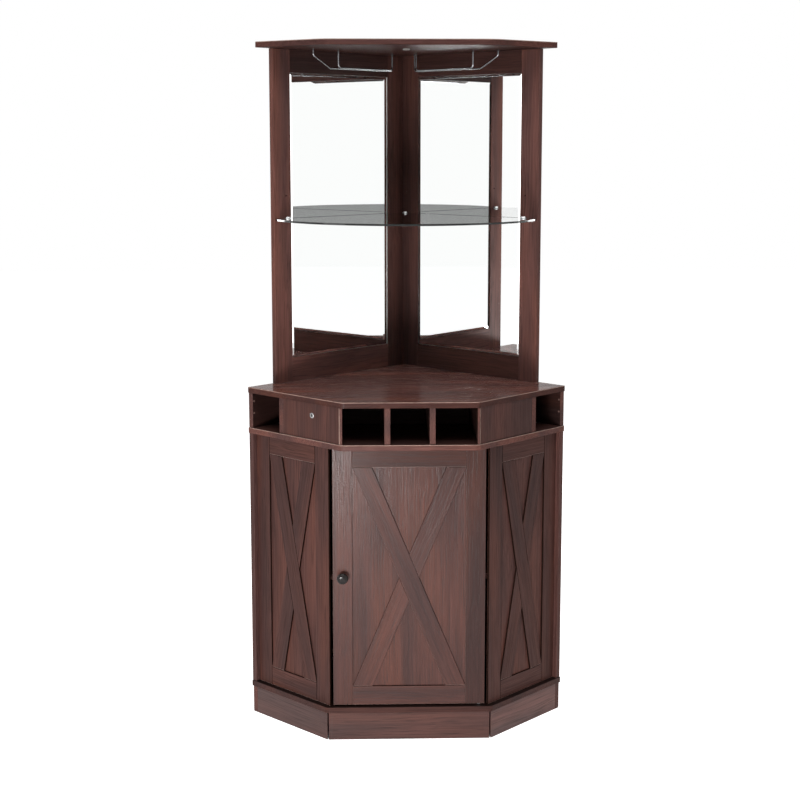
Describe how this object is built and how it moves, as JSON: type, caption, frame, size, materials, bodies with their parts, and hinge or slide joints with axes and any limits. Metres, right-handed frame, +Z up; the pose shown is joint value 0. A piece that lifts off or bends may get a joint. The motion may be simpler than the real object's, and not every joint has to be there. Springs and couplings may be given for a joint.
{
  "type": "corner bar cabinet",
  "caption": "Five-sided corner bar cabinet: base with hinged crossed door, open bottle row, counter and mirrored hutch with glass shelf and wire stemware racks.",
  "frame": {"origin": "centre of the bounding box at floor level; the floor is z = 0", "axes": "+Z up; the door faces -Y; the back corner, where the two wall sides meet, points to +Y"},
  "size_m": [0.8392, 0.6676, 1.79],
  "materials": {
    "espresso_laminate": "satin espresso wood-grain laminate",
    "mirror_glass": "silvered, ground edge",
    "mirror_backing": "bare fibreboard",
    "clear_glass": "clear float glass, polished edge",
    "clip_chrome": "satin plated zinc",
    "wire_chrome": "bright plated wire",
    "bezel_chrome": "bright",
    "steel": "zinc-plated",
    "knob_black": "satin black",
    "button_black": "matt",
    "catch_black": "matt",
    "lamp_white": "frosted"
  },
  "bodies": {
    "cabinet": {"plinth_front": "espresso_laminate", "plinth_facet_left": "espresso_laminate", "plinth_facet_right": "espresso_laminate", "plinth_wall_left": "espresso_laminate", "plinth_wall_right": "espresso_laminate", "bottom_board": "espresso_laminate", "lower_wall_left": "espresso_laminate", "lower_wall_right": "espresso_laminate", "facet_board_left": "espresso_laminate", "facet_board_right": "espresso_laminate", "facet_trim_left": "espresso_laminate", "facet_trim_right": "espresso_laminate", "inner_shelf": "espresso_laminate", "middle_board": "espresso_laminate", "rack_wall_left": "espresso_laminate", "rack_wall_right": "espresso_laminate", "rack_side_divider_left": "espresso_laminate", "rack_side_divider_right": "espresso_laminate", "rack_cover_left": "espresso_laminate", "rack_cover_right": "espresso_laminate", "rack_divider_1": "espresso_laminate", "rack_divider_2": "espresso_laminate", "rack_divider_3": "espresso_laminate", "rack_divider_4": "espresso_laminate", "rack_back_stop": "espresso_laminate", "countertop": "espresso_laminate", "hutch_front_stile_left": "espresso_laminate", "hutch_front_stile_right": "espresso_laminate", "hutch_rear_stile_left": "espresso_laminate", "hutch_rear_stile_right": "espresso_laminate", "hutch_top_rail_left": "espresso_laminate", "hutch_top_rail_right": "espresso_laminate", "hutch_bottom_rail_left": "espresso_laminate", "hutch_bottom_rail_right": "espresso_laminate", "top_board": "espresso_laminate", "mirror_left": "mirror_glass", "mirror_right": "mirror_glass", "mirror_back_left": "mirror_backing", "mirror_back_right": "mirror_backing", "glass_shelf": "clear_glass", "shelf_clip_left": "clip_chrome", "shelf_clip_right": "clip_chrome", "shelf_clip_corner": "clip_chrome", "glass_rack_left": "wire_chrome", "glass_rack_right": "wire_chrome", "shelf_pin_left_1": "steel", "shelf_pin_left_2": "steel", "shelf_pin_right_1": "steel", "shelf_pin_right_2": "steel", "spot_lamp": "lamp_white", "switch_bezel": "bezel_chrome", "door_catch": "catch_black"},
    "door": {"door_board": "espresso_laminate", "door_trim": "espresso_laminate", "door_knob": "knob_black", "hinge_pin_top": "steel", "hinge_pin_bottom": "steel", "door_strike": "steel"},
    "switch_button": {"switch_button": "button_black"}
  },
  "joints": [
    {"name": "door_hinge", "type": "hinge", "parent": "cabinet", "child": "door", "pos_m": [0.1815, -0.27049, 0.0905], "axis": [0, 0, 1], "range_deg": [0, 105]},
    {"name": "switch_press", "type": "slide", "parent": "cabinet", "child": "switch_button", "axis": [0.7071, 0.7071, 0], "range_m": [0, 0.0015], "stiffness_N_per_m": 600, "springref_m": -0.0005}
  ]
}
